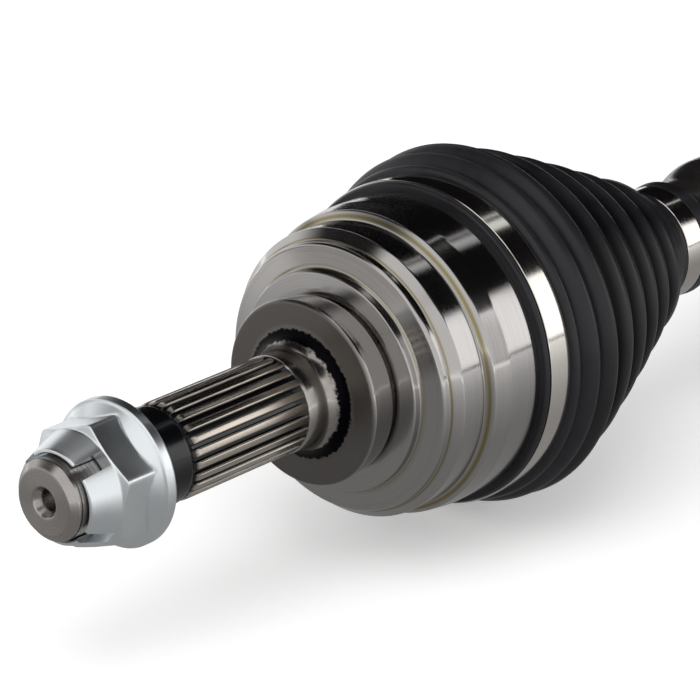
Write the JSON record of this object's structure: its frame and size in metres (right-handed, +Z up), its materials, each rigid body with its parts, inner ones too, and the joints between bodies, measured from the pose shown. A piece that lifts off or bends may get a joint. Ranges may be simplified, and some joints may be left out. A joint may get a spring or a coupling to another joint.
{
  "type": "drive shaft",
  "caption": "Front half shaft: a splined wheel stub with a flange nut, a fixed ball joint, a swaged tube and a plunging ball joint, with rubber boots and clamps.",
  "frame": {"origin": "centre of the shoulder face that seats on the wheel bearing, on the shaft's axis", "axes": "+X from the wheel towards the gearbox along the shaft, +Z up"},
  "size_m": [0.6977, 0.1084, 0.1084],
  "materials": {
    "zinc_nut": "zinc plated, satin",
    "turned_bell": "turned and polished",
    "hardened_steel": "ground, oiled",
    "bearing_ball": "polished",
    "spring_steel": "black phosphate",
    "boot_rubber": "moulded, semi-matt",
    "stainless_band": "bright rolled band",
    "shaft_steel": "semi-gloss dark coating"
  },
  "bodies": {
    "outer_joint": {"outer_race": "turned_bell", "outer_boot": "boot_rubber", "outer_boot_large_clamp": "stainless_band"},
    "nut": {"axle_nut": "zinc_nut"},
    "outer_cage_set": {"outer_cage": "hardened_steel", "outer_balls": "bearing_ball"},
    "shaft": {"tube_shaft": "shaft_steel", "outer_inner_race": "hardened_steel", "outer_end_ring": "spring_steel", "outer_stop_ring": "spring_steel", "outer_boot_small_clamp": "stainless_band", "inner_boot_small_clamp": "stainless_band", "inner_stop_ring": "spring_steel", "inner_end_ring": "spring_steel", "inner_inner_race": "hardened_steel"},
    "inner_cage_set": {"inner_cage": "hardened_steel", "inner_balls": "bearing_ball"},
    "inner_joint": {"inner_housing": "turned_bell", "inner_mouth_ring": "spring_steel", "inner_boot": "boot_rubber", "inner_boot_large_clamp": "stainless_band", "gearbox_snap_ring": "spring_steel"}
  },
  "joints": [
    {"name": "nut_unscrew", "type": "slide", "parent": "outer_joint", "child": "nut", "axis": [-1, 0, 0], "range_m": [0, 0.04]},
    {"name": "outer_articulation", "type": "hinge", "parent": "outer_joint", "child": "shaft", "pos_m": [0.04, 0, 0], "axis": [0, 0, 1], "range_deg": [-42, 42], "deforming": ["outer_boot"]},
    {"name": "outer_cage_turn", "type": "hinge", "parent": "outer_joint", "child": "outer_cage_set", "pos_m": [0.04, 0, 0], "axis": [0, 0, 1], "range_deg": [-22, 22]},
    {"name": "inner_articulation", "type": "hinge", "parent": "shaft", "child": "inner_cage_set", "pos_m": [0.49, 0, 0], "axis": [0, 0, 1], "range_deg": [-15, 15], "deforming": ["inner_boot"]},
    {"name": "inner_plunge", "type": "slide", "parent": "inner_cage_set", "child": "inner_joint", "axis": [1, 0, 0], "range_m": [-0.018, 0.018], "deforming": ["inner_boot"]}
  ],
  "couplings": [
    {"joint": "outer_cage_turn", "follows": "outer_articulation", "ratio": 0.5}
  ]
}
